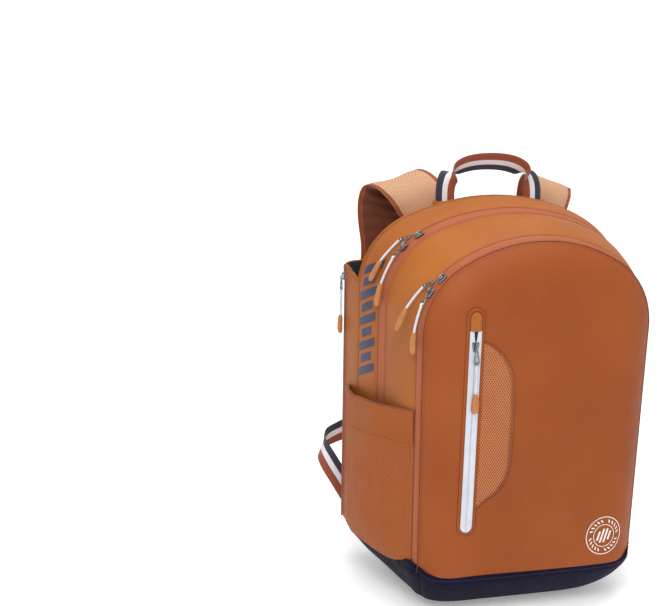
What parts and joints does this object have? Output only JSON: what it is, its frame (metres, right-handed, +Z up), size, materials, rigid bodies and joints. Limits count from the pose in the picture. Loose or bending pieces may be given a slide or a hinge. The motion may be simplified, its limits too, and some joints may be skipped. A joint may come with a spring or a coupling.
{
  "type": "racket backpack",
  "caption": "Soft racket backpack with a rear racket compartment, arched zipped compartments, front zip pocket, side net pockets, striped carry handle and padded shoulder straps.",
  "frame": {"origin": "centre of the resting face of the boot, on the surface it stands on", "axes": "+Z up, -Y the front panel, +Y the padded back, X across the pack"},
  "size_m": [0.3872, 0.3048, 0.5291],
  "materials": {
    "coated_fabric_clay": "smooth coated weave, slight sheen",
    "gusset_fabric_ochre": "smooth coated weave, slight sheen",
    "boot_navy": "smooth coated, satin",
    "zip_tape_peach": "woven tape",
    "zip_tape_white": "coated tape, gloss",
    "net_clay": "net over a dark ground",
    "air_mesh_peach": "spacer mesh",
    "lining_black": "woven, dull",
    "foam_board": "dull",
    "webbing_striped": "woven stripes clay, white and navy",
    "strap_clay": "padded, quilted inner face",
    "patch_clay": "stitched",
    "buckle_black": "moulded",
    "zip_metal": "polished",
    "cord_white": "braided",
    "grip_tan": "moulded, satin"
  },
  "bodies": {
    "pack": {"back_pad_left": "air_mesh_peach", "back_pad_right": "air_mesh_peach", "back_panel": "air_mesh_peach", "base_board": "foam_board", "boot": "boot_navy", "compartment_divider": "lining_black", "corner_tab_left": "patch_clay", "corner_tab_right": "patch_clay", "front_gusset": "gusset_fabric_ochre", "front_zip_tape": "zip_tape_peach", "handle_anchors": "patch_clay", "lower_webbing_left": "webbing_striped", "lower_webbing_right": "webbing_striped", "lumbar_pad": "air_mesh_peach", "main_zip_tape": "zip_tape_peach", "pocket_hem_left": "net_clay", "pocket_hem_right": "net_clay", "racket_divider": "lining_black", "racket_lining": "lining_black", "racket_shell": "gusset_fabric_ochre", "racket_zip_tape": "zip_tape_peach", "rear_gusset": "gusset_fabric_ochre", "side_pocket_left": "net_clay", "side_pocket_right": "net_clay", "strap_yoke": "strap_clay"},
    "front_flap": {"front_panel": "coated_fabric_clay", "pocket_bag": "lining_black", "pocket_zip_tape": "zip_tape_white", "pocket_welt": "coated_fabric_clay", "zip_garage": "coated_fabric_clay", "vent_panel": "net_clay"},
    "carry_handle": {"handle_webbing": "webbing_striped"},
    "strap_left": {"strap_pad_left": "strap_clay", "ladder_lock_left": "buckle_black"},
    "strap_right": {"strap_pad_right": "strap_clay", "ladder_lock_right": "buckle_black"},
    "front_zip_a_slider": {"front_zip_a_slider": "zip_metal"},
    "front_zip_a_pull": {"front_zip_a_puller": "zip_metal", "front_zip_a_cord": "cord_white", "front_zip_a_grip": "grip_tan"},
    "front_zip_b_slider": {"front_zip_b_slider": "zip_metal"},
    "front_zip_b_pull": {"front_zip_b_puller": "zip_metal", "front_zip_b_cord": "cord_white", "front_zip_b_grip": "grip_tan"},
    "main_zip_a_slider": {"main_zip_a_slider": "zip_metal"},
    "main_zip_a_pull": {"main_zip_a_puller": "zip_metal", "main_zip_a_cord": "cord_white", "main_zip_a_grip": "grip_tan"},
    "main_zip_b_slider": {"main_zip_b_slider": "zip_metal"},
    "main_zip_b_pull": {"main_zip_b_puller": "zip_metal", "main_zip_b_cord": "cord_white", "main_zip_b_grip": "grip_tan"},
    "front_pocket_slider": {"front_pocket_slider": "zip_metal"},
    "front_pocket_pull": {"front_pocket_puller": "zip_metal", "front_pocket_cord": "cord_white", "front_pocket_grip": "grip_tan"},
    "racket_zip_slider": {"racket_zip_slider": "zip_metal"},
    "racket_zip_pull": {"racket_zip_puller": "zip_metal", "racket_zip_cord": "cord_white", "racket_zip_grip": "grip_tan"}
  },
  "joints": [
    {"name": "front_flap_hinge", "type": "hinge", "parent": "pack", "child": "front_flap", "pos_m": [0, -0.121, 0.0553], "axis": [1, 0, 0], "range_deg": [0, 65]},
    {"name": "handle_tilt", "type": "hinge", "parent": "pack", "child": "carry_handle", "pos_m": [0, 0.062, 0.4724], "axis": [1, 0, 0], "range_deg": [-35, 35]},
    {"name": "strap_left_lift", "type": "hinge", "parent": "pack", "child": "strap_left", "pos_m": [-0.06, 0.1199, 0.446], "axis": [1, 0, 0], "range_deg": [0, 25]},
    {"name": "strap_right_lift", "type": "hinge", "parent": "pack", "child": "strap_right", "pos_m": [0.102, 0.1199, 0.446], "axis": [1, 0, 0], "range_deg": [0, 25]},
    {"name": "front_zip_a_travel", "type": "hinge", "parent": "pack", "child": "front_zip_a_slider", "pos_m": [-0.05375, -0.0935, 0.34525], "axis": [0, 1, 0], "range_deg": [0, 18]},
    {"name": "front_zip_b_travel", "type": "slide", "parent": "pack", "child": "front_zip_b_slider", "axis": [-0.423, 0, -0.9061], "range_m": [0, 0.015]},
    {"name": "main_zip_a_travel", "type": "hinge", "parent": "pack", "child": "main_zip_a_slider", "pos_m": [-0.06525, -0.0065, 0.36175], "axis": [0, 1, 0], "range_deg": [0, 12]},
    {"name": "main_zip_b_travel", "type": "slide", "parent": "pack", "child": "main_zip_b_slider", "axis": [-0.6225, 0, -0.7826], "range_m": [0, 0.015]},
    {"name": "front_pocket_travel", "type": "slide", "parent": "front_flap", "child": "front_pocket_slider", "axis": [0, 0, -1], "range_m": [0, 0.205]},
    {"name": "racket_zip_travel", "type": "slide", "parent": "pack", "child": "racket_zip_slider", "axis": [0.0184, 0, -0.9998], "range_m": [0, 0.17]},
    {"name": "front_zip_a_swing", "type": "hinge", "parent": "front_zip_a_slider", "child": "front_zip_a_pull", "pos_m": [-0.12996, -0.0905, 0.40436], "axis": [0, 1, 0], "range_deg": [0, 100]},
    {"name": "front_zip_b_swing", "type": "hinge", "parent": "front_zip_b_slider", "child": "front_zip_b_pull", "pos_m": [-0.14022, -0.095, 0.38613], "axis": [0, 1, 0], "range_deg": [0, 100]},
    {"name": "main_zip_a_swing", "type": "hinge", "parent": "main_zip_a_slider", "child": "main_zip_a_pull", "pos_m": [-0.12668, -0.0035, 0.44123], "axis": [0, 1, 0], "range_deg": [0, 100]},
    {"name": "main_zip_b_swing", "type": "hinge", "parent": "main_zip_b_slider", "child": "main_zip_b_pull", "pos_m": [-0.14291, -0.008, 0.42419], "axis": [0, 1, 0], "range_deg": [0, 100]},
    {"name": "front_pocket_swing", "type": "hinge", "parent": "front_pocket_slider", "child": "front_pocket_pull", "pos_m": [-0.088, -0.1264, 0.331], "axis": [-1, 0, 0], "range_deg": [0, 100]},
    {"name": "racket_zip_swing", "type": "hinge", "parent": "racket_zip_slider", "child": "racket_zip_pull", "pos_m": [-0.17666, 0.098, 0.3715], "axis": [0, 1, 0], "range_deg": [0, 100]}
  ]
}
